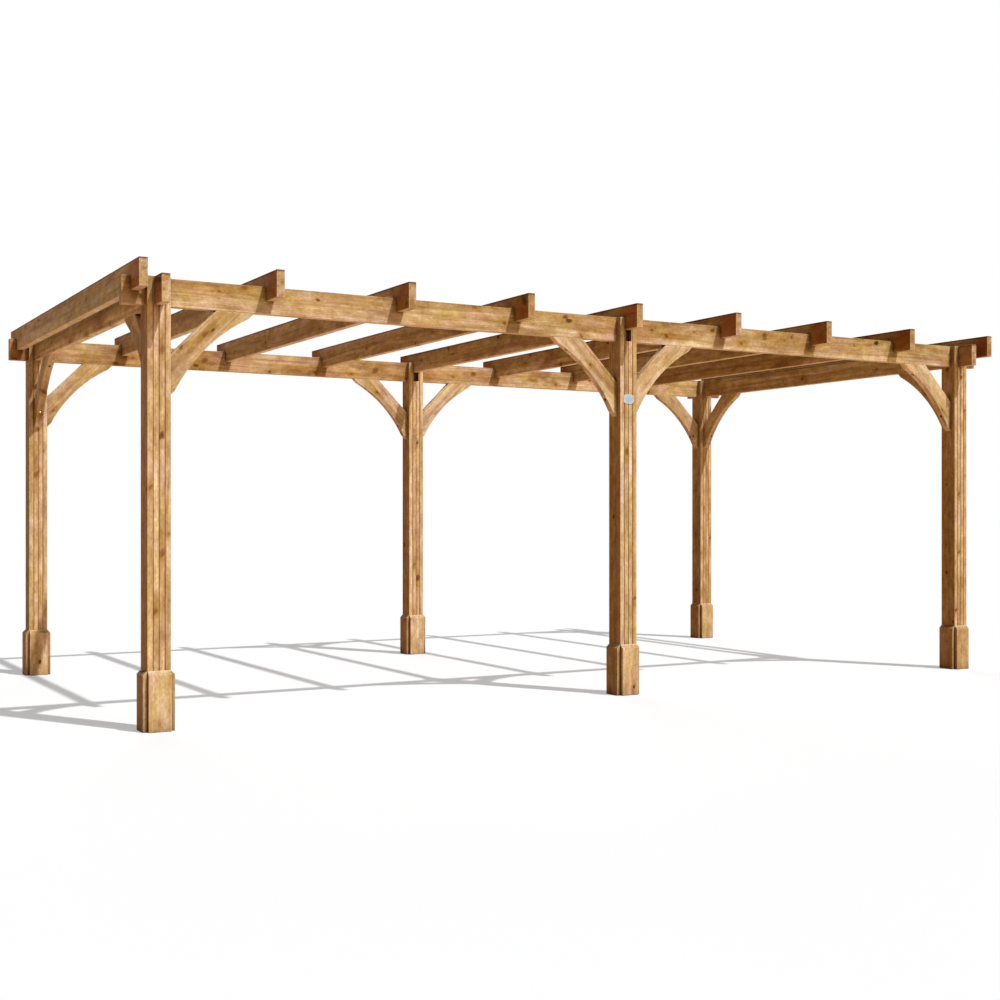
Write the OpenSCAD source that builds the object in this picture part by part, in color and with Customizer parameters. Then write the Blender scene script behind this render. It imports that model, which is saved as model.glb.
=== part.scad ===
// Free-standing timber pergola: two rows of three laminated posts, slotted at the top to hold
// crossing beams, with half-lapped rafters over them, arched braces and boarded post feet.
// Millimetres. The origin is on the ground, at the centre of the roof's plan.
// +X runs along the rows, +Y to the back row, +Z up.

/* [Overall] */
// Length of a bay, from post centre to post centre along a row
bay_length = 2880; // [2200:10:3600]
// Distance between the two rows, from post centre to post centre
row_distance = 2880; // [2000:10:3600]
// Height of the posts, which is also the height of the top of the beams
post_height = 2292; // [2000:1:2800]

/* [Posts] */
// Width of a post, the same both ways
post_w = 120; // [100:1:160]
// Number of boards glued together in a post
laminations = 4; // [2:1:6]
// Width of the V-groove along each glue line
groove_w = 8; // [2:0.5:12]
// Depth of that groove
groove_depth = 4; // [1:0.5:6]

/* [Beams] */
// Thickness of the beams
beam_t = 45; // [35:1:60]
// Height of the beams
beam_h = 145; // [110:1:180]
// How far the long beams run on past the outer posts
beam_overhang = 120; // [90:1:300]
// How far the end beams run on past the posts
end_beam_overhang = 120; // [60:1:300]

/* [Rafters] */
// Thickness of the rafters
rafter_t = 45; // [35:1:60]
// Height of the rafters
rafter_h = 145; // [110:1:180]
// Number of rafter spaces in each bay
spaces_per_bay = 4; // [2:1:6]
// How far the rafters run on past the posts
rafter_overhang = 120; // [60:1:300]
// How far the rafters sit down over the beams
rafter_lap = 75; // [40:1:100]
// Length of beam that shows outside the rafter at the left end
beam_ear = 45; // [30:1:60]

/* [Braces] */
// Thickness of the braces
brace_t = 45; // [35:1:60]
// Width of the board that a brace is cut from
brace_w = 145; // [110:1:170]
// Distance from the corner to the brace's upper edge, along the post and along the beam
brace_reach = 250; // [150:1:350]
// Length of straight edge left at each end of the arch
brace_nose = 45; // [30:1:80]
// Rise of the arch
arch_rise = 43; // [20:1:60]
// Diameter of the counterbores for the screws
counterbore_d = 20; // [10:0.5:28]
// Depth of those counterbores, from the arch
counterbore_depth = 22; // [10:1:40]
// Distance of a counterbore from the tip of the brace, along the post or the beam
counterbore_place = 102; // [60:1:140]

/* [Post feet] */
// Thickness of the boards around a foot
foot_board_t = 22; // [15:1:30]
// Height of the foot boards at their outer face
foot_board_h = 287; // [200:1:400]
// Further height of the bevel on top of the foot boards
foot_bevel_h = 22; // [10:1:40]
// How much narrower a foot board is than the post, on each side
foot_board_inset = 1; // [0.5:0.5:10]

/* [Plate] */
// Width of the blank plate on the front middle post
plate_w = 74; // [50:1:95]
// Height of the plate
plate_h = 58; // [45:1:90]
// Thickness of the plate
plate_t = 2; // [1:0.5:4]
// Radius of the plate's corners
plate_corner_r = 20; // [2:1:22]
// Distance from the underside of the beams down to the middle of the plate
plate_drop = 351; // [300:1:600]

/* [Fits] */
// Gap left on each side of a timber that drops into a slot or a notch
side_gap = 0.5; // [0.2:0.1:2]
// Share of a lap that is cut out of the lower timber
lap_share = 0.5; // [0.4:0.05:0.6]

/* [Hidden] */
$fn = 64;
ROWS = ["front", "back"];
COLUMNS = ["left", "middle", "right"];
ENDS = ["left", "right"];

// A little more than the timber, so that a cutter clears the face it starts from
cut_over = 1;

// Heights
beam_bottom = post_height - beam_h;
rafter_bottom = post_height - rafter_lap;

// Lengths
beam_half_length = bay_length + post_w / 2 + beam_overhang;
end_beam_length = row_distance + post_w + 2 * end_beam_overhang;
rafter_length = row_distance + post_w + 2 * rafter_overhang;

// Rafters are counted from the middle post, so that number 0 lies in its slot
rafter_pitch = (beam_half_length - rafter_t / 2) / spaces_per_bay;
RAFTERS = [-spaces_per_bay : spaces_per_bay];

// Wood taken out of the timber below, where two timbers cross
beam_notch_at_rafter = rafter_lap * lap_share;
beam_notch_at_end = beam_h * lap_share;

// Brace: where its lower edge ends, and the circle of its arch
brace_tip = brace_reach + brace_w * sqrt(2);
arch_chord = brace_tip * sqrt(2) - 2 * brace_nose;
arch_r = (arch_chord * arch_chord / 4 + arch_rise * arch_rise) / (2 * arch_rise);
arch_centre = brace_tip / 2 + (arch_r - arch_rise) / sqrt(2);

POST_NAMES = [for (row = ROWS, column = COLUMNS) str("post_", row, "_", column)];
FOOT_NAMES = [for (row = ROWS, column = COLUMNS) str("foot_boards_", row, "_", column)];
BEAM_NAMES = [for (row = ROWS, end = ENDS) str("beam_", row, "_", end)];
END_BEAM_NAMES = [for (end = ENDS) str("end_beam_", end)];
RAFTER_NAMES = [for (i = RAFTERS) str("rafter_", i + spaces_per_bay + 1)];
ROW_BRACE_NAMES = [for (row = ROWS, number = [1:4]) str("brace_", row, "_", number)];
END_BRACE_NAMES = [for (end = ENDS, row = ROWS) str("brace_", end, "_", row)];

// Place of a row of posts, 0 for the front and 1 for the back
function row_y(row) = (row - 0.5) * row_distance;

// Place of a column of posts, 0 for the left, 1 for the middle and 2 for the right
function column_x(column) = (column - 1) * bay_length;

// The rafter at the left end is moved in, so that the beam shows beyond it
function rafter_x(i) =
    i == -spaces_per_bay ? beam_ear + rafter_t / 2 - beam_half_length : i * rafter_pitch;

// A slot along X for a timber of the given thickness, open upwards from the given height
module slot_along_x(timber_t, length, bottom) {
    slot_w = timber_t + 2 * side_gap;
    translate([-length / 2, -slot_w / 2, bottom])
        cube([length, slot_w, post_height - bottom + cut_over]);
}

// The same slot along Y
module slot_along_y(timber_t, length, bottom) {
    rotate([0, 0, 90])
        slot_along_x(timber_t, length, bottom);
}

// V-grooves along the glue lines, on the front and back faces of a post
module glue_line_grooves() {
    board_t = post_w / laminations;
    for (i = [1 : laminations - 1], side = [-1, 1]) {
        translate([i * board_t - post_w / 2, side * post_w / 2, -cut_over])
            linear_extrude(post_height + 2 * cut_over)
                polygon([
                    [-groove_w / 2, 0],
                    [0, -side * groove_depth],
                    [groove_w / 2, 0],
                    [groove_w / 2, side * cut_over],
                    [-groove_w / 2, side * cut_over]
                ]);
    }
}

// A post with two crossing slots in its top, which leave a horn at each corner
module post(row, column) {
    across_t = column == 1 ? rafter_t : beam_t;
    slot_length = post_w + 2 * cut_over;
    color("burlywood")
        translate([column_x(column), row_y(row), 0])
            difference() {
                translate([-post_w / 2, -post_w / 2, 0])
                    cube([post_w, post_w, post_height]);
                slot_along_x(beam_t, slot_length, beam_bottom);
                slot_along_y(across_t, slot_length, beam_bottom);
                glue_line_grooves();
            }
}

// One foot board, against the face of a post that looks along -Y
module foot_board() {
    board_w = post_w - 2 * foot_board_inset;
    translate([-board_w / 2, -post_w / 2, 0])
        rotate([90, 0, 90])
            linear_extrude(board_w)
                polygon([
                    [0, 0],
                    [0, foot_board_h + foot_bevel_h],
                    [-foot_board_t, foot_board_h],
                    [-foot_board_t, 0]
                ]);
}

// Four boards around the foot of a post, one on each face
module foot_boards(row, column) {
    color("peru")
        translate([column_x(column), row_y(row), 0])
            for (side = [0:3]) {
                rotate([0, 0, 90 * side])
                    foot_board();
            }
}

// Notches in the top of the long beams, for the rafters and the end beams
module long_beam_notches() {
    for (i = RAFTERS) {
        translate([rafter_x(i), 0, 0])
            slot_along_y(rafter_t, 2 * beam_t, post_height - beam_notch_at_rafter);
    }
    for (column = [0, 2]) {
        translate([column_x(column), 0, 0])
            slot_along_y(beam_t, 2 * beam_t, post_height - beam_notch_at_end);
    }
}

// Half of a long beam, from its outer end to the joint in the middle post
module long_beam(row, side) {
    color("tan")
        translate([0, row_y(row), 0])
            difference() {
                translate([side < 0 ? -beam_half_length : 0, -beam_t / 2, beam_bottom])
                    cube([beam_half_length, beam_t, beam_h]);
                long_beam_notches();
            }
}

// Clears the underside of a crossing timber up to the given height, over both long beams
module notches_over_rows(bottom, top) {
    notch_w = beam_t + 2 * side_gap;
    for (row = [0, 1]) {
        translate([-beam_t, row_y(row) - notch_w / 2, bottom - cut_over])
            cube([2 * beam_t, notch_w, top - bottom + cut_over]);
    }
}

// A beam across one end of the pergola, halved over the long beams
module end_beam(column) {
    color("tan")
        translate([column_x(column), 0, 0])
            difference() {
                translate([-beam_t / 2, -end_beam_length / 2, beam_bottom])
                    cube([beam_t, end_beam_length, beam_h]);
                notches_over_rows(beam_bottom, post_height - beam_notch_at_end);
            }
}

// A rafter, notched over the long beams
module rafter(i) {
    color("sandybrown")
        translate([rafter_x(i), 0, 0])
            difference() {
                translate([-rafter_t / 2, -rafter_length / 2, rafter_bottom])
                    cube([rafter_t, rafter_length, rafter_h]);
                notches_over_rows(rafter_bottom, post_height - beam_notch_at_rafter);
            }
}

// A brace in the XZ plane, with the corner of post and beam at the origin.
// The post lies towards -X and the beam towards +Z.
module brace_shape() {
    difference() {
        rotate([90, 0, 0])
            linear_extrude(brace_t, center = true)
                difference() {
                    polygon([
                        [0, -brace_reach],
                        [brace_reach, 0],
                        [brace_tip, 0],
                        [0, -brace_tip]
                    ]);
                    translate([arch_centre, -arch_centre])
                        circle(r = arch_r, $fn = 360);
                }
        counterbore();
        // The one in line with the beam is the same, across the brace's middle
        mirror([1, 0, 1])
            counterbore();
    }
}

// The counterbore that is square to the post, from the arch into the brace
module counterbore() {
    drop = brace_tip - counterbore_place;
    arch_x = arch_centre - sqrt(arch_r * arch_r - pow(arch_centre - drop, 2));
    translate([arch_x - counterbore_depth, 0, -drop])
        rotate([0, 90, 0])
            cylinder(d = counterbore_d, h = counterbore_depth + counterbore_d);
}

// The four braces of a row, from left to right
module row_brace(row, number) {
    column = [0, 1, 1, 2][number];
    side = [1, -1, 1, -1][number];
    color("goldenrod")
        translate([column_x(column) + side * post_w / 2, row_y(row), beam_bottom])
            mirror([side < 0 ? 1 : 0, 0, 0])
                brace_shape();
}

// A brace under an end beam, towards the middle of the end
module end_brace(column, row) {
    side = row == 0 ? 1 : -1;
    color("goldenrod")
        translate([column_x(column), row_y(row) + side * post_w / 2, beam_bottom])
            rotate([0, 0, 90 * side])
                brace_shape();
}

// The blank plate on the front face of the front middle post
module plate() {
    color("lightsteelblue")
        translate([0, row_y(0) - post_w / 2, beam_bottom - plate_drop])
            rotate([90, 0, 0])
                linear_extrude(plate_t)
                    union() {
                        square([plate_w - 2 * plate_corner_r, plate_h], center = true);
                        square([plate_w, plate_h - 2 * plate_corner_r], center = true);
                        for (x = [-1, 1], y = [-1, 1]) {
                            translate([
                                x * (plate_w / 2 - plate_corner_r),
                                y * (plate_h / 2 - plate_corner_r)
                            ])
                                circle(r = plate_corner_r);
                        }
                    }
}

for (row = [0, 1], column = [0:2]) {
    place = row * len(COLUMNS) + column;
    post(row, column);
    foot_boards(row, column);
}
for (row = [0, 1], end = [0, 1]) {
    place = row * len(ENDS) + end;
    long_beam(row, end == 0 ? -1 : 1);
}
for (end = [0, 1]) {
    end_beam(2 * end);
}
for (i = RAFTERS) {
    rafter(i);
}
for (row = [0, 1], number = [0:3]) {
    row_brace(row, number);
}
for (end = [0, 1], row = [0, 1]) {
    end_brace(2 * end, row);
}
plate();
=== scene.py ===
"""Looks of the timber pergola: grain for every board, eased arrises, screws, light and camera."""

import math
import random
from collections import namedtuple

import bmesh
import bpy
from mathutils import Matrix, Vector


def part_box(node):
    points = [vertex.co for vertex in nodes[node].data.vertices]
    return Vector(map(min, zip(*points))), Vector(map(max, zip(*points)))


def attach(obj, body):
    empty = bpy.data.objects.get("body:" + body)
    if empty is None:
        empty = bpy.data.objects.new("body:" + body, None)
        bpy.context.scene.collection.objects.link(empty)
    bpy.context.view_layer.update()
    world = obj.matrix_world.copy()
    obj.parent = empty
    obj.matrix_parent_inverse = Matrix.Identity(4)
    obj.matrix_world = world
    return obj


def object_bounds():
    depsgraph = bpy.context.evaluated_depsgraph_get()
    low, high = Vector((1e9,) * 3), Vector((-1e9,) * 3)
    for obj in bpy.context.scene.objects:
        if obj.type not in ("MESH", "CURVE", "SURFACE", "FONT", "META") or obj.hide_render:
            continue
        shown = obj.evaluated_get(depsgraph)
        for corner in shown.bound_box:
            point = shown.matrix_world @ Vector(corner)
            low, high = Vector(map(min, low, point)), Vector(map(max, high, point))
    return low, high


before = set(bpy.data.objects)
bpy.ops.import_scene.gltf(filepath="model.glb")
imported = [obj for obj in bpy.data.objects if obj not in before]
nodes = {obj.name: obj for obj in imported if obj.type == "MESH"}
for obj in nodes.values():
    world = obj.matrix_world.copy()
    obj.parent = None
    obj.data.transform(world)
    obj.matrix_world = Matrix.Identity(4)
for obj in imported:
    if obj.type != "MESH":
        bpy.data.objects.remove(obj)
cad_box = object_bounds()

AXES = (Vector((1, 0, 0)), Vector((0, 1, 0)), Vector((0, 0, 1)))
FOOT_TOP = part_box("foot_boards_front_left")[1].z

# Sizes of the CAD that the frame does not state, in metres
LAMINATION = 0.030
POST_HALF = 0.060
FOOT_BOARD = 0.022
ARCH_RISE = 0.043
BRACE_NOSE = 0.045
COUNTERBORE_PLACE = 0.102
COUNTERBORE_DEPTH = 0.022

# Screws, in metres: their sizes, the sides of head and socket, and how far the heads stand off the
# counterbores' seats, with one that is driven in less
SHANK_R = 0.004
HEAD_R = 0.0075
HEAD_H = 0.0045
SOCKET_R = 0.0030
SOCKET_DEPTH = 0.0030
HEAD_SIDES = 18
SOCKET_SIDES = 6
STANDOFF = (0.003, 0.008)
PROUD_STANDOFF = 0.016
PROUD_SCREW = "brace_left_back_post"

# Where painted shade darkens a timber, in metres from the edge or the end: from fully dark to not at
# all
SHADED_TOP = (0.004, 0.014)
BURIED_FOOT = (0.004, 0.012)
END_SHADE_SPAN = (0.06, 0.28)

# Painted shade on the left and right sides of posts and feet, and stain along the glue lines of
# posts. The bands are in metres from the side or the glue line: from fully darkened to not at all
SIDE_SHADE = 0.55
SIDE_BAND = (0.001, 0.003)
GLUE_STAIN = 0.60
GLUE_BAND = (0.0005, 0.0065)

# Relief and gloss of the grain, and rounding of the arrises, in metres and degrees
GRAIN_BUMP = 0.5
GRAIN_DEPTH = 0.0008
GRAIN_GLOSS = 0.03
WELD_DISTANCE = 0.00002
ARRIS_ANGLE = 50
PLATE_ARRIS = 0.0004

# Middle of a brace, as a share of its reach from the corner, along the post and along the beam
BRACE_MIDDLE = 0.4

# Colours, as sRGB
# Painted light from the ground, for the faces that look down
UNDERSIDE_LIGHT = (0.96, 0.89, 0.80)
PALE_WOOD = (0.92, 0.81, 0.65)
HONEY_WOOD = (0.75, 0.61, 0.40)
STRAW_WOOD = (0.79, 0.69, 0.46)
PINK_WOOD = (0.86, 0.72, 0.57)
STAIN = (0.60, 0.43, 0.24)
# Painted shade on the side faces near a timber's end
END_SHADE_COLOUR = (0.64, 0.38, 0.17)
RESIN = (0.66, 0.49, 0.22)
KNOT = (0.55, 0.37, 0.16)
KNOT_RIM = (0.27, 0.15, 0.06)
# Dark brown for painted shade on the timbers, and for real dirt on the plate
DIRT_AND_SHADE = (0.18, 0.06, 0.02)
PLATE_RIM = (0.79, 0.82, 0.82)
PLATE_FACE = (0.66, 0.79, 0.93)
SCREW = (0.95, 0.86, 0.64)

# Light, as linear values: the sun, the two soft lamps with their tint, the sky, the light that the
# ground sends back up, and how bright the ground is in the sun and in the shade
SUN_ENERGY = 3.4
SUN_TRAVEL = (-0.287, 0.536, -1.0)
SUN_SPREAD = 1.0
FRONT_ENERGY = 0.9
FRONT_TRAVEL = (-0.2, 1.0, -0.35)
BACK_ENERGY = 1.3
BACK_TRAVEL = (-0.2, -1.0, -0.35)
SOFT_SPREAD = 40.0
SOFT_TINT = (1.0, 0.93, 0.84)
WHITE = (1.0, 1.0, 1.0)
SKY = (0.02, 0.02, 0.015)
BOUNCE = (0.53, 0.325, 0.17)
GROUND_LIT = 1.01
GROUND_SHADOW = 0.485
GROUND_SIZE = 200.0

# Camera: millimetres, metres and degrees
LENS = 49.88
SENSOR_WIDTH = 36.0
SHIFT_UP = 0.0162
VIEW_LIMIT = 500.0
CAMERA_PLACE = (-4.879, -8.394, 1.085)
CAMERA_TURN = (90.0, 0.0, -29.99)


def linear(colour):
    """An sRGB colour as the linear RGBA that a socket takes."""
    channels = [c / 12.92 if c <= 0.04045 else ((c + 0.055) / 1.055) ** 2.4 for c in colour]
    return (*channels, 1.0)


class Graph:
    """Writes a node tree as expressions: each method adds a node and returns its output."""

    def __init__(self, tree):
        self.tree = tree

    def node(self, kind, **settings):
        made = self.tree.nodes.new(kind)
        for name, value in settings.items():
            setattr(made, name, value)
        return made

    def feed(self, socket, value):
        if isinstance(value, bpy.types.NodeSocket):
            self.tree.links.new(value, socket)
        elif value is not None:
            socket.default_value = value

    def math(self, operation, a, b=None, c=None):
        made = self.node("ShaderNodeMath", operation=operation)
        for socket, value in zip(made.inputs, (a, b, c)):
            self.feed(socket, value)
        return made.outputs[0]

    def add(self, a, b):
        return self.math("ADD", a, b)

    def minus(self, a, b):
        return self.math("SUBTRACT", a, b)

    def times(self, a, b):
        return self.math("MULTIPLY", a, b)

    def scaled(self, value, factor, offset):
        return self.math("MULTIPLY_ADD", value, factor, offset)

    def vector(self, operation, a, b=None):
        made = self.node("ShaderNodeVectorMath", operation=operation)
        self.feed(made.inputs[0], a)
        self.feed(made.inputs[1], b)
        return made.outputs["Value" if operation in ("LENGTH", "DISTANCE") else "Vector"]

    def combine(self, x, y, z):
        made = self.node("ShaderNodeCombineXYZ")
        for socket, value in zip(made.inputs, (x, y, z)):
            self.feed(socket, value)
        return made.outputs[0]

    def split(self, vector):
        made = self.node("ShaderNodeSeparateXYZ")
        self.feed(made.inputs[0], vector)
        return made.outputs[0], made.outputs[1], made.outputs[2]

    def smooth(self, value, low, high, at_low=0.0, at_high=1.0):
        made = self.node("ShaderNodeMapRange", interpolation_type="SMOOTHSTEP")
        for socket, given in zip(made.inputs, (value, low, high, at_low, at_high)):
            self.feed(socket, given)
        return made.outputs[0]

    def noise(self, place, scale, detail=2.0, rough=0.5):
        made = self.node("ShaderNodeTexNoise", noise_dimensions="3D")
        self.feed(made.inputs["Vector"], self.vector("MULTIPLY", place, scale))
        self.feed(made.inputs["Scale"], 1.0)
        self.feed(made.inputs["Detail"], detail)
        self.feed(made.inputs["Roughness"], rough)
        return made.outputs["Fac"]

    def random(self, seed, offset):
        """Three numbers from 0 to 1 that belong to a seed."""
        made = self.node("ShaderNodeTexWhiteNoise", noise_dimensions="1D")
        self.feed(made.inputs["W"], self.add(seed, offset))
        parts = self.node("ShaderNodeSeparateColor")
        self.feed(parts.inputs[0], made.outputs["Color"])
        return parts.outputs[0], parts.outputs[1], parts.outputs[2]

    def mix(self, factor, a, b, blend="MIX"):
        made = self.node("ShaderNodeMix", data_type="RGBA", blend_type=blend)
        self.feed(made.inputs["Factor"], factor)
        self.feed(made.inputs["A"], a)
        self.feed(made.inputs["B"], b)
        return made.outputs["Result"]

    def occlusion(self, distance, **settings):
        """How open a place is within the distance, from 0 to 1."""
        made = self.node("ShaderNodeAmbientOcclusion", samples=4, **settings)
        made.inputs["Distance"].default_value = distance
        return made.outputs["AO"]


def new_group(name, inputs, outputs):
    """An empty node group with the given sockets."""
    tree = bpy.data.node_groups.new(name, "ShaderNodeTree")
    for socket_name, kind in inputs:
        tree.interface.new_socket(socket_name, in_out="INPUT", socket_type=kind)
    for socket_name, kind in outputs:
        tree.interface.new_socket(socket_name, in_out="OUTPUT", socket_type=kind)
    graph = Graph(tree)
    return graph, graph.node("NodeGroupInput"), graph.node("NodeGroupOutput")


def trunk_place(g, place, seed):
    """Place of a point of the board in the trunk that it was sawn from, with the pith on Z."""
    turn, away, shift = g.random(seed, 0.37)
    lean, bow, _ = g.random(seed, 5.11)
    turned = g.node("ShaderNodeVectorRotate", rotation_type="Z_AXIS")
    g.feed(turned.inputs["Vector"], place)
    g.feed(turned.inputs["Angle"], g.scaled(turn, 1.4, -0.7))
    x, y, z = g.split(turned.outputs[0])
    x = g.add(x, g.scaled(away, 0.055, 0.045))
    x = g.add(x, g.times(z, g.scaled(lean, 0.036, -0.018)))
    z = g.add(z, g.times(shift, 40.0))
    sway = g.noise(g.combine(x, y, z), (0.5, 0.5, 0.9), 1.0)
    x = g.add(x, g.times(g.minus(sway, 0.5), g.scaled(bow, 0.10, 0.04)))
    return x, y, z, away


def knots(g, trunk, reach, angle, z, amount):
    """Knots as branches that leave the pith: the knot, its dark rim, its halo and its size."""
    around, up = 1.3, 3.0  # Cells per radian and per metre, with room for one branch each
    share = 0.40  # Of the cells that do have a branch, where the amount is 1
    climb = 0.45  # Rise of a branch for each metre from the pith
    height = g.minus(z, g.times(reach, climb))
    cells = g.node("ShaderNodeTexVoronoi", voronoi_dimensions="2D", feature="F1")
    g.feed(cells.inputs["Vector"], g.combine(g.times(angle, around), g.times(height, up), 0.0))
    g.feed(cells.inputs["Scale"], 1.0)
    branch_angle, branch_height, _ = g.split(cells.outputs["Position"])
    chance = g.node("ShaderNodeSeparateColor")
    g.feed(chance.inputs[0], cells.outputs["Color"])
    lives = g.math("LESS_THAN", chance.outputs[0], g.times(amount, share))
    size = g.times(g.scaled(g.math("POWER", chance.outputs[1], 2.0), 0.011, 0.006), lives)
    dead = g.scaled(g.math("POWER", chance.outputs[2], 2.0), 0.85, 0.10)
    sideways = g.times(g.minus(angle, g.math("DIVIDE", branch_angle, around)), reach)
    along = g.minus(height, g.math("DIVIDE", branch_height, up))
    off = g.vector("LENGTH", g.combine(sideways, g.times(along, 0.7), 0.0))
    off = g.add(off, g.times(g.minus(g.noise(trunk, (70.0, 70.0, 45.0), 2.0), 0.5), 0.014))
    knot = g.times(g.smooth(off, g.times(size, 0.50), g.times(size, 1.20), 1.0, 0.0), lives)
    rim = g.smooth(g.math("ABSOLUTE", g.minus(off, size)), 0.0, 0.0040, 1.0, 0.0)
    rim = g.times(g.math("MAXIMUM", rim, knot), g.times(dead, lives))
    far = g.vector("LENGTH", g.combine(sideways, g.times(along, 0.35), 0.0))
    halo = g.times(g.smooth(far, 0.0, g.scaled(size, 4.0, 0.0005), 1.0, 0.0), lives)
    return knot, rim, halo, size


def growth_rings(g, trunk, reach, away, halo, size):
    """Late wood of the growth rings, which bend round each knot."""
    drift = g.noise(trunk, (9.0, 9.0, 1.1), 2.0)
    bend = g.times(g.times(halo, halo), g.times(size, 1.8))
    place = g.minus(g.add(reach, g.times(drift, 0.030)), bend)
    phase = g.math("FRACT", g.math("DIVIDE", place, g.scaled(away, 0.005, 0.006)))
    return g.times(g.smooth(phase, 0.20, 0.90), g.smooth(phase, 0.90, 1.0, 1.0, 0.0))


def wood_colour(g, trunk, reach, late, streaks, figure):
    """Honey heartwood in pale sapwood, with lengthwise bands, yellow and pink areas, and stains."""
    edge = g.scaled(g.noise(trunk, (12.0, 12.0, 0.6), 2.0), 0.10, 0.02)
    heart = g.smooth(g.minus(reach, edge), -0.010, 0.010, 1.0, 0.0)
    bands = g.noise(trunk, (20.0, 20.0, 0.8), 2.0)
    stripes = g.noise(g.vector("ADD", trunk, (2.0, 5.0, 3.0)), (38.0, 38.0, 0.7), 1.0)
    patches = g.noise(trunk, (7.0, 7.0, 3.0), 3.0, 0.6)
    yellowing = g.noise(g.vector("ADD", trunk, (7.0, 3.0, 1.0)), (10.0, 10.0, 2.4), 2.0)
    blush = g.noise(g.vector("ADD", trunk, (1.0, 8.0, 4.0)), (11.0, 11.0, 3.2), 2.0)
    honey = g.add(g.times(heart, 0.55), g.smooth(bands, 0.36, 0.64, 0.0, 0.60))
    honey = g.times(honey, figure)
    colour = g.mix(honey, linear(PALE_WOOD), linear(HONEY_WOOD))
    colour = g.mix(g.smooth(yellowing, 0.46, 0.66, 0.0, 0.70), colour, linear(STRAW_WOOD))
    colour = g.mix(g.smooth(blush, 0.50, 0.68, 0.0, 0.70), colour, linear(PINK_WOOD))
    for mark in (
        g.smooth(patches, 0.48, 0.74, 0.0, 0.75),
        g.smooth(stripes, 0.52, 0.72, 0.0, 0.45),
        g.times(late, 0.24),
        g.smooth(streaks, 0.52, 0.80, 0.0, 0.45),
    ):
        colour = g.mix(g.times(mark, figure), colour, linear(STAIN))
    return colour


def paint_light_on_undersides(g, colour):
    """Lightens the faces that look down with painted light from the ground below."""
    normal = g.node("ShaderNodeNewGeometry").outputs["Normal"]
    under = g.smooth(g.split(normal)[2], -0.90, -0.40, 0.65, 0.0)
    return g.mix(under, colour, linear(UNDERSIDE_LIGHT))


def tint_board(g, colour, trunk, seed, tone, fibres, mottle):
    """Gives a board its own tone and tint, and a cloudy shade whose dark parts are also richer."""
    own_tone, warmth, _ = g.random(seed, 11.73)
    cloud = g.noise(trunk, (26.0, 26.0, 13.0), 2.0)
    reddening = g.noise(g.vector("ADD", trunk, (3.0, 1.0, 9.0)), (13.0, 13.0, 8.0), 2.0)
    fading = g.noise(g.vector("ADD", trunk, (5.0, 2.0, 6.0)), (11.0, 11.0, 6.0), 2.0)
    shade = g.times(g.scaled(own_tone, 0.18, 0.91), g.scaled(fibres, 0.14, 0.93))
    shade = g.times(shade, g.scaled(mottle, 0.75, 0.625))
    shade = g.times(shade, g.scaled(cloud, 0.85, 0.575))
    green = g.times(g.scaled(warmth, 0.06, 0.97), g.scaled(reddening, 0.20, 0.90))
    blue = g.times(g.scaled(warmth, 0.14, 0.93), g.scaled(fading, 1.10, 0.45))
    green = g.times(green, g.math("POWER", shade, 1.35))
    blue = g.times(blue, g.math("POWER", shade, 2.1))
    tint = g.vector("SCALE", g.combine(shade, green, blue))
    g.feed(tint.node.inputs["Scale"], tone)
    return g.mix(1.0, colour, tint, "MULTIPLY")


def wear_and_painted_light(g, colour, mottle, dirt):
    """Paints the arrises pale, as wear and as a painted highlight, and adds painted shade in
    crevices, more faintly round them, and as given.
    """
    # Pale arrises: partly rubbed wear, partly a painted highlight along the edges
    rubbed_and_highlit = g.smooth(g.occlusion(0.010, inside=True, only_local=True), 0.50, 0.95, 0.60, 0.0)
    colour = g.mix(g.times(rubbed_and_highlit, g.smooth(mottle, 0.25, 0.60)), colour, linear(PALE_WOOD))
    # Painted shade where other surfaces are close, within 18 cm
    colour = g.mix(g.smooth(g.occlusion(0.180), 0.30, 0.90, 0.40, 0.0), colour, linear(DIRT_AND_SHADE))
    # Painted shade in crevices, gaps and joints, within 5 cm
    colour = g.mix(g.smooth(g.occlusion(0.050), 0.15, 0.62, 0.90, 0.0), colour, linear(DIRT_AND_SHADE))
    # Painted shade below the top edges and behind the foot boards, as given
    return g.mix(dirt, colour, linear(DIRT_AND_SHADE))


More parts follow.
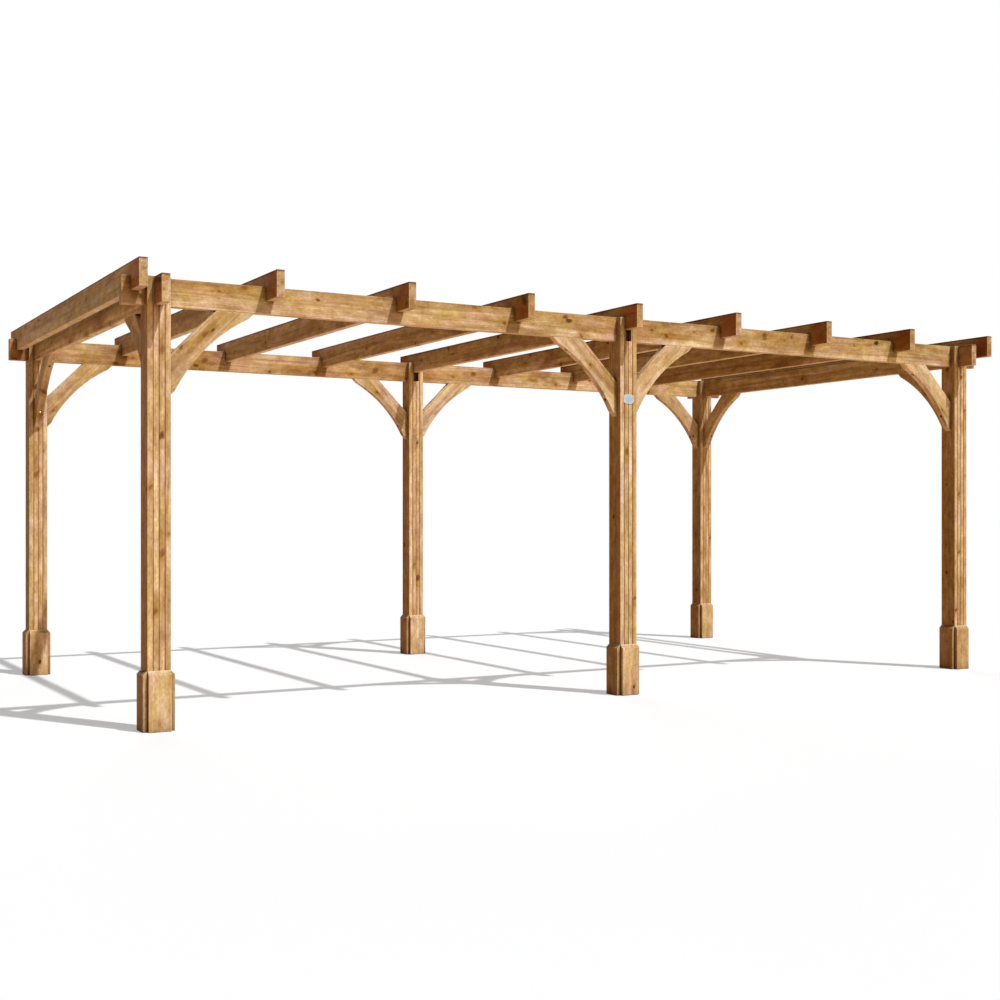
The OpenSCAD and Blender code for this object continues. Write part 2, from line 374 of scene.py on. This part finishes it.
def pine_group():
    """Planed pine in the board's own frame: X through its thickness, Y across it, Z along it."""
    g, given, result = new_group(
        "pine",
        [
            ("Place", "NodeSocketVector"),
            ("Facing", "NodeSocketVector"),
            ("Seed", "NodeSocketFloat"),
            ("Tone", "NodeSocketFloat"),
            ("Figure", "NodeSocketFloat"),
            ("Knots", "NodeSocketFloat"),
            ("StainAndShade", "NodeSocketFloat"),
            ("EndShade", "NodeSocketFloat"),
            ("Dirt", "NodeSocketFloat"),
        ],
        [
            ("Colour", "NodeSocketColor"),
            ("Roughness", "NodeSocketFloat"),
            ("Height", "NodeSocketFloat"),
        ],
    )
    seed = given.outputs["Seed"]
    x, y, z, away = trunk_place(g, given.outputs["Place"], seed)
    trunk = g.combine(x, y, z)
    reach = g.vector("LENGTH", g.combine(x, y, 0.0))
    angle = g.math("ARCTAN2", y, x)
    knot, rim, halo, size = knots(g, trunk, reach, angle, z, given.outputs["Knots"])
    late = growth_rings(g, trunk, reach, away, halo, size)

    streaks = g.noise(trunk, (75.0, 75.0, 1.8), 3.0, 0.6)
    mottle = g.noise(trunk, (95.0, 95.0, 55.0), 3.0, 0.6)
    fibres = g.noise(trunk, (700.0, 700.0, 18.0), 2.0)

    colour = wood_colour(g, trunk, reach, late, streaks, given.outputs["Figure"])
    # Stain along the glue lines, and painted shade on the left and right sides of posts and feet
    colour = g.mix(given.outputs["StainAndShade"], colour, linear(STAIN))
    # Painted shade on the side faces near the ends
    colour = g.mix(given.outputs["EndShade"], colour, linear(END_SHADE_COLOUR))
    # Painted light from the ground on the faces that look down
    colour = paint_light_on_undersides(g, colour)
    colour = g.mix(g.times(halo, 0.75), colour, linear(RESIN))
    colour = g.mix(g.times(knot, 0.75), colour, linear(KNOT))
    colour = g.mix(rim, colour, linear(KNOT_RIM))
    colour = tint_board(g, colour, trunk, seed, given.outputs["Tone"], fibres, mottle)

    # Sawn ends soak up more oil, and show fine radial checks
    end = g.smooth(g.math("ABSOLUTE", g.split(given.outputs["Facing"])[2]), 0.50, 0.80)
    rays = g.noise(g.combine(angle, reach, 0.0), (60.0, 14.0, 1.0), 2.0)
    checks = g.times(end, g.smooth(rays, 0.62, 0.66))
    colour = g.mix(g.times(end, 0.32), colour, linear(STAIN))
    colour = g.mix(g.times(checks, 0.7), colour, linear(KNOT_RIM))
    # Pale arrises, as wear and painted highlight, and painted shade
    colour = wear_and_painted_light(g, colour, mottle, given.outputs["Dirt"])

    rough = g.add(g.scaled(fibres, 0.20, 0.52), g.times(late, -0.06))
    relief = g.times(late, 0.30)
    for part, rise in ((fibres, 0.55), (streaks, 0.5), (mottle, 0.8), (knot, 0.3), (checks, -1.5)):
        relief = g.add(relief, g.times(part, rise))
    g.feed(result.inputs["Colour"], colour)
    g.feed(result.inputs["Roughness"], rough)
    g.feed(result.inputs["Height"], relief)
    return g.tree


def blank_material(name):
    """A material with only a Principled shader, and the graph to add to."""
    material = bpy.data.materials.new(name)
    material.use_nodes = True
    graph = Graph(material.node_tree)
    shader = material.node_tree.nodes["Principled BSDF"]
    return material, graph, shader


def shade_near_ends(g, place, facing, half_length, ends):
    """How much painted shade darkens the side faces near a timber's two ends."""
    along = g.math("ABSOLUTE", g.split(place)[2])
    endwise = g.math("ABSOLUTE", g.split(facing)[2])
    flank = g.smooth(endwise, 0.50, 0.80, ends, 0.0)
    return g.smooth(along, half_length - END_SHADE_SPAN[1], half_length - END_SHADE_SPAN[0], 0.0, flank)


def shade_on_timber(g, coordinates, top, look):
    """Painted shade on the side faces just below the top and, on a post, behind the foot boards."""
    height = g.split(coordinates.outputs["Object"])[2]
    upright = g.smooth(g.split(coordinates.outputs["Normal"])[2], 0.30, 0.70, look.dirt, 0.0)
    # Painted shade on the side faces just below the top
    dirt = g.smooth(height, top - SHADED_TOP[1], top - SHADED_TOP[0], 0.0, upright)
    if look.buried:
        behind, clear = FOOT_TOP - BURIED_FOOT[1], FOOT_TOP - BURIED_FOOT[0]
        # Painted shade on the part of a post behind the foot boards
        dirt = g.add(dirt, g.smooth(height, behind, clear, look.buried, 0.0))
    return dirt


def timber_material(name, box, centre, axes, seed, look, sorting=None):
    """Pine for one node. axes are its thickness, width and length; sorting splits it into boards."""
    material, g, shader = blank_material(name)
    turn = Matrix(axes).transposed().to_euler()
    coordinates = g.node("ShaderNodeTexCoord")
    place = g.node("ShaderNodeMapping", vector_type="TEXTURE")
    g.feed(place.inputs["Vector"], coordinates.outputs["Object"])
    place.inputs["Location"].default_value = centre
    place.inputs["Rotation"].default_value = turn
    facing = g.node("ShaderNodeMapping", vector_type="TEXTURE")
    g.feed(facing.inputs["Vector"], coordinates.outputs["Normal"])
    facing.inputs["Rotation"].default_value = turn
    half_length = abs((box[1] - box[0]).dot(axes[2])) / 2
    end_shade_mask = shade_near_ends(g, place.outputs[0], facing.outputs[0], half_length, look.ends)
    board_place, board_seed, stain_and_shade = place.outputs[0], float(seed), 0.0
    if sorting:
        board_place, board_seed, stain_and_shade = sorting(g, board_place, board_seed)
    pine = g.node("ShaderNodeGroup", node_tree=PINE)
    given = {
        "Place": board_place,
        "Facing": facing.outputs[0],
        "Seed": board_seed,
        "Tone": look.tone,
        "Figure": look.figure,
        "Knots": look.knots,
        "StainAndShade": stain_and_shade,
        "EndShade": end_shade_mask,
        "Dirt": shade_on_timber(g, coordinates, box[1].z, look),
    }
    for socket_name, value in given.items():
        g.feed(pine.inputs[socket_name], value)
    bump = g.node("ShaderNodeBump")
    bump.inputs["Strength"].default_value = GRAIN_BUMP
    bump.inputs["Distance"].default_value = GRAIN_DEPTH
    g.feed(bump.inputs["Height"], pine.outputs["Height"])
    g.feed(shader.inputs["Base Color"], pine.outputs["Colour"])
    g.feed(shader.inputs["Roughness"], pine.outputs["Roughness"])
    g.feed(shader.inputs["Normal"], bump.outputs[0])
    shader.inputs["Specular IOR Level"].default_value = GRAIN_GLOSS
    return material


def sort_laminations(g, place, seed):
    """Splits a post into its glued boards, side by side along X.

    They are stained along each glue line, and darkened with painted shade on the post's left and
    right sides."""
    x, y, z = g.split(place)
    number = g.math("FLOOR", g.math("DIVIDE", g.add(x, POST_HALF), LAMINATION))
    middle = g.scaled(number, LAMINATION, LAMINATION / 2 - POST_HALF)
    across = g.minus(x, middle)
    bare, glued = LAMINATION / 2 - GLUE_BAND[1], LAMINATION / 2 - GLUE_BAND[0]
    glue = g.smooth(g.math("ABSOLUTE", across), bare, glued, 0.0, GLUE_STAIN)
    inside = g.math("LESS_THAN", g.math("ABSOLUTE", x), POST_HALF - LAMINATION / 2)
    below, outer = POST_HALF - SIDE_BAND[1], POST_HALF - SIDE_BAND[0]
    # Painted shade on the post's left and right sides
    side = g.smooth(g.math("ABSOLUTE", x), below, outer, 0.0, SIDE_SHADE)
    return g.combine(across, y, z), g.add(number, seed), g.add(g.times(glue, inside), side)


def sort_foot_boards(g, place, seed):
    """Splits a foot into the four boards around it. The left and right ones get painted shade."""
    x, y, z = g.split(place)
    on_side = g.math("GREATER_THAN", g.math("ABSOLUTE", x), g.math("ABSOLUTE", y))
    on_front = g.minus(1.0, on_side)
    out = g.add(g.times(x, on_side), g.times(y, on_front))
    across = g.add(g.times(y, on_side), g.times(x, on_front))
    positive = g.math("GREATER_THAN", out, 0.0)
    number = g.add(g.times(on_side, 2.0), positive)
    depth = g.minus(g.math("ABSOLUTE", out), POST_HALF + FOOT_BOARD / 2)
    # The left and right boards get painted shade
    return g.combine(depth, across, z), g.add(number, seed), g.times(on_side, SIDE_SHADE)


def board_frame(name):
    """Centre of a node, and its axes from the thinnest to the longest."""
    low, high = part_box(name)
    size = high - low
    order = sorted(range(3), key=lambda i: size[i])
    thin, wide, long = (AXES[i] for i in order)
    if thin.cross(wide).dot(long) < 0:
        wide = -wide
    return (low + high) / 2, (thin, wide, long)


def brace_corner(name):
    """Corner of post and beam in the middle of a brace, its outward direction and its reach."""
    low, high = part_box(name)
    along_x = high.x - low.x > high.y - low.y
    k = 0 if along_x else 1
    corner = (low + high) / 2
    corner.z = high.z
    posts = [sum(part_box(n), Vector()) / 2 for n in nodes if n.startswith("post_")]
    post = min(posts, key=lambda p: (p.xy - corner.xy).length)
    outward = AXES[k] if corner[k] > post[k] else -AXES[k]
    corner[k] = low[k] if corner[k] > post[k] else high[k]
    return corner, outward, high.z - low.z


def ease_arrises(node, width):
    """Joins the node's faces at their edges and rounds its arrises."""
    weld = node.modifiers.new("weld", "WELD")
    weld.merge_threshold = WELD_DISTANCE
    bevel = node.modifiers.new("arrises", "BEVEL")
    bevel.width = width
    bevel.segments = 3
    bevel.limit_method = "ANGLE"
    bevel.angle_limit = math.radians(ARRIS_ANGLE)
    bevel.harden_normals = True


# What the name of a node starts with, and how its timber looks: its tone, how strongly figured and
# knotty it is, how much painted shade darkens its top edges, the part behind the foot boards and its
# ends, and how far its arrises are rounded, in metres
Look = namedtuple("Look", "tone figure knots dirt buried ends rounding")
TIMBERS = {
    "post_": Look(1.06, 1.0, 0.6, dirt=0.0, buried=0.9, ends=0.0, rounding=0.004),
    "foot_boards_": Look(1.0, 0.7, 0.7, dirt=0.0, buried=0.0, ends=0.0, rounding=0.003),
    "beam_": Look(0.99, 1.15, 1.5, dirt=0.2, buried=0.0, ends=0.35, rounding=0.003),
    "end_beam_": Look(1.03, 1.2, 0.4, dirt=0.7, buried=0.0, ends=0.55, rounding=0.003),
    "rafter_": Look(1.03, 1.25, 0.4, dirt=0.8, buried=0.0, ends=0.85, rounding=0.003),
    "brace_": Look(0.95, 0.9, 1.2, dirt=0.0, buried=0.0, ends=0.0, rounding=0.003),
}
PINE = pine_group()


def dress_timber(name, number):
    """Gives one timber its grain and its eased arrises."""
    look = next(given for start, given in TIMBERS.items() if name.startswith(start))
    centre, axes = board_frame(name)
    sorting = None
    if name.startswith("post_"):
        axes, sorting = AXES, sort_laminations
    elif name.startswith("foot_boards_"):
        axes, sorting = AXES, sort_foot_boards
    elif name.startswith("brace_"):
        corner, outward, reach = brace_corner(name)
        length = (outward + AXES[2]).normalized()
        width = (outward - AXES[2]).normalized()
        axes = (width.cross(length), width, length)
        centre = corner + (outward - AXES[2]) * reach * BRACE_MIDDLE
    seed = 10 * number + 3  # Leaves room for the seeds of the boards in a node
    pine = timber_material("timber_" + name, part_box(name), centre, axes, seed, look, sorting)
    node = nodes[name]
    node.data.materials.clear()
    node.data.materials.append(pine)
    ease_arrises(node, look.rounding)


for number, name in enumerate(sorted(nodes)):
    if name != "plate":
        dress_timber(name, number)


def screw_places():
    """Name, seat, axis and sideways direction of the screw in each counterbore.

    One counterbore is square to the post and the other is square to the beam. Both start at the
    brace's arch, as far from the brace's tip, measured along the post or along the beam."""
    places = []
    for name in sorted(n for n in nodes if n.startswith("brace_")):
        corner, outward, reach = brace_corner(name)
        chord = reach * math.sqrt(2) - 2 * BRACE_NOSE
        radius = (chord * chord / 4 + ARCH_RISE * ARCH_RISE) / (2 * ARCH_RISE)
        centre = reach / 2 + (radius - ARCH_RISE) / math.sqrt(2)
        drop = reach - COUNTERBORE_PLACE
        arch = centre - math.sqrt(radius * radius - (centre - drop) ** 2)
        seat = arch - COUNTERBORE_DEPTH
        up = AXES[2]
        places.append((name + "_post", corner + outward * seat - up * drop, outward, up))
        places.append((name + "_beam", corner + outward * drop - up * seat, -up, outward))
    return places


def ring_of(mesh, centre, axis, side, radius, count):
    """A ring of vertices round an axis."""
    other = axis.cross(side)
    turns = [2 * math.pi * i / count for i in range(count)]
    spokes = [side * math.cos(turn) + other * math.sin(turn) for turn in turns]
    return [mesh.verts.new(centre + spoke * radius) for spoke in spokes]


def bridge(mesh, lower, upper):
    """Faces between two rings of as many vertices."""
    for i, vertex in enumerate(lower):
        after = (i + 1) % len(lower)
        mesh.faces.new((vertex, lower[after], upper[after], upper[i]))


def add_screw(mesh, seat, axis, side, standoff):
    """A shank from the seat, and a domed head with a hexagonal socket."""
    # Height and radius of each ring, from the seat to the top of the dome
    profile = [
        (0.0, SHANK_R),
        (standoff, SHANK_R),
        (standoff, HEAD_R),
        (standoff + HEAD_H * 0.55, HEAD_R),
        (standoff + HEAD_H * 0.90, HEAD_R * 0.82),
        (standoff + HEAD_H, HEAD_R * 0.60),
    ]
    rings = [
        ring_of(mesh, seat + axis * height, axis, side, radius, HEAD_SIDES)
        for height, radius in profile
    ]
    for lower, upper in zip(rings, rings[1:]):
        bridge(mesh, lower, upper)
    mesh.faces.new(reversed(rings[0]))
    top = seat + axis * (standoff + HEAD_H)
    mouth = ring_of(mesh, top, axis, side, SOCKET_R, SOCKET_SIDES)
    foot = ring_of(mesh, top - axis * SOCKET_DEPTH, axis, side, SOCKET_R, SOCKET_SIDES)
    span = HEAD_SIDES // SOCKET_SIDES
    for i in range(SOCKET_SIDES):
        after = (i + 1) % SOCKET_SIDES
        outer = [rings[-1][(span * i + j) % HEAD_SIDES] for j in range(span + 1)]
        mesh.faces.new((*outer, mouth[after], mouth[i]))
        mesh.faces.new((mouth[i], mouth[after], foot[after], foot[i]))
    mesh.faces.new(foot)


def screw_material():
    """Bright zinc with fine scratches."""
    material, g, shader = blank_material("screw_zinc")
    place = g.node("ShaderNodeTexCoord").outputs["Object"]
    cloud = g.noise(place, (900.0, 900.0, 900.0), 3.0)
    colour = g.mix(g.smooth(cloud, 0.40, 0.70, 0.0, 0.35), linear(SCREW), linear(KNOT_RIM))
    g.feed(shader.inputs["Base Color"], colour)
    g.feed(shader.inputs["Roughness"], g.scaled(cloud, 0.3, 0.18))
    shader.inputs["Metallic"].default_value = 1.0
    return material


def add_screws():
    """The screws that hold the braces, driven in by slightly different amounts."""
    dice = random.Random(7)
    mesh = bmesh.new()
    for place, seat, axis, side in screw_places():
        standoff = dice.uniform(*STANDOFF)
        if place == PROUD_SCREW:
            standoff = PROUD_STANDOFF
        add_screw(mesh, seat, axis, side, standoff)
    bmesh.ops.recalc_face_normals(mesh, faces=mesh.faces[:])
    data = bpy.data.meshes.new("brace_screws")
    mesh.to_mesh(data)
    mesh.free()
    screws = bpy.data.objects.new("brace_screws", data)
    bpy.context.collection.objects.link(screws)
    data.materials.append(screw_material())
    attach(screws, "root")


add_screws()


def plate_material():
    """Pale satin paint, a little bluer in the middle."""
    material, g, shader = blank_material("plate_paint")
    centre, _ = board_frame("plate")
    low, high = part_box("plate")
    place = g.vector("SUBTRACT", g.node("ShaderNodeTexCoord").outputs["Object"], tuple(centre))
    x, _, z = g.split(place)
    across = g.math("DIVIDE", x, (high.x - low.x) / 2)
    up = g.math("DIVIDE", z, (high.z - low.z) / 2)
    edge = g.smooth(g.vector("LENGTH", g.combine(across, up, 0.0)), 0.35, 0.95)
    cloud = g.noise(place, (60.0, 60.0, 60.0), 3.0)
    colour = g.mix(edge, linear(PLATE_FACE), linear(PLATE_RIM))
    colour = g.mix(g.smooth(cloud, 0.45, 0.75, 0.0, 0.25), colour, linear(DIRT_AND_SHADE))
    g.feed(shader.inputs["Base Color"], colour)
    g.feed(shader.inputs["Roughness"], g.scaled(cloud, 0.2, 0.3))
    return material


nodes["plate"].data.materials.clear()
nodes["plate"].data.materials.append(plate_material())
ease_arrises(nodes["plate"], PLATE_ARRIS)


def seen_directly(g):
    """1 for the rays that see white surroundings: the camera's, reflected and refracted ones."""
    path = g.node("ShaderNodeLightPath")
    seen = g.math("MAXIMUM", path.outputs["Is Camera Ray"], path.outputs["Is Glossy Ray"])
    return g.math("MAXIMUM", seen, path.outputs["Is Transmission Ray"])


def on_ground(energy, travel):
    """Light that a lamp brings to level ground, as a share of full white."""
    return energy / math.pi * -travel[2] / Vector(travel).length


def add_floor():
    """White ground that keeps the object's shadow pale and sends warm light back up."""
    bpy.ops.mesh.primitive_plane_add(size=GROUND_SIZE, location=(0, 0, cad_box[0][2]))
    floor = bpy.context.object
    floor.name = "floor"
    material, g, matt = blank_material("floor_white")
    share = (GROUND_LIT - GROUND_SHADOW) / on_ground(SUN_ENERGY, SUN_TRAVEL)
    soft = on_ground(FRONT_ENERGY, FRONT_TRAVEL) + on_ground(BACK_ENERGY, BACK_TRAVEL)
    matt.inputs["Base Color"].default_value = (share, share, share, 1.0)
    matt.inputs["Roughness"].default_value = 1.0
    matt.inputs["Specular IOR Level"].default_value = 0.0
    glow = g.node("ShaderNodeEmission")
    lift = [GROUND_SHADOW - share * (sky + soft * tint) for sky, tint in zip(SKY, SOFT_TINT)]
    glow.inputs["Color"].default_value = (*lift, 1.0)
    lifted = g.node("ShaderNodeAddShader")
    g.feed(lifted.inputs[0], matt.outputs[0])
    g.feed(lifted.inputs[1], glow.outputs[0])
    bounce = g.node("ShaderNodeBsdfDiffuse")
    bounce.inputs["Color"].default_value = (*BOUNCE, 1.0)
    both = g.node("ShaderNodeMixShader")
    g.feed(both.inputs[0], seen_directly(g))
    g.feed(both.inputs[1], bounce.outputs[0])
    g.feed(both.inputs[2], lifted.outputs[0])
    g.feed(g.tree.nodes["Material Output"].inputs["Surface"], both.outputs[0])
    floor.data.materials.append(material)


def add_lamp(name, energy, travel, spread, colour):
    """A distant lamp that shines along travel, and is spread degrees wide."""
    lamp = bpy.data.lights.new(name, "SUN")
    lamp.energy = energy
    lamp.color = colour
    lamp.angle = math.radians(spread)
    sun = bpy.data.objects.new(name, lamp)
    bpy.context.collection.objects.link(sun)
    sun.rotation_euler = Vector(travel).to_track_quat("-Z", "Y").to_euler()


def add_sky():
    """An even sky that lights the object, and is white where it is seen."""
    world = bpy.data.worlds.new("sky")
    bpy.context.scene.world = world
    world.use_nodes = True
    world.node_tree.nodes.clear()
    g = Graph(world.node_tree)
    soft = g.node("ShaderNodeBackground")
    soft.inputs["Color"].default_value = (*SKY, 1.0)
    white = g.node("ShaderNodeBackground")
    white.inputs["Color"].default_value = (*WHITE, 1.0)
    both = g.node("ShaderNodeMixShader")
    g.feed(both.inputs[0], seen_directly(g))
    g.feed(both.inputs[1], soft.outputs[0])
    g.feed(both.inputs[2], white.outputs[0])
    g.feed(g.node("ShaderNodeOutputWorld").inputs["Surface"], both.outputs[0])


def add_camera():
    """Level camera, low in front of the left end."""
    data = bpy.data.cameras.new("camera")
    data.lens = LENS
    data.sensor_width = SENSOR_WIDTH
    data.shift_y = SHIFT_UP
    data.clip_end = VIEW_LIMIT
    camera = bpy.data.objects.new("camera", data)
    bpy.context.collection.objects.link(camera)
    camera.location = CAMERA_PLACE
    camera.rotation_euler = [math.radians(turn) for turn in CAMERA_TURN]
    bpy.context.scene.camera = camera


add_floor()
add_lamp("sun", SUN_ENERGY, SUN_TRAVEL, SUN_SPREAD, WHITE)
add_lamp("front_light", FRONT_ENERGY, FRONT_TRAVEL, SOFT_SPREAD, SOFT_TINT)
add_lamp("back_light", BACK_ENERGY, BACK_TRAVEL, SOFT_SPREAD, SOFT_TINT)
add_sky()
add_camera()
bpy.context.scene.view_settings.view_transform = "Standard"
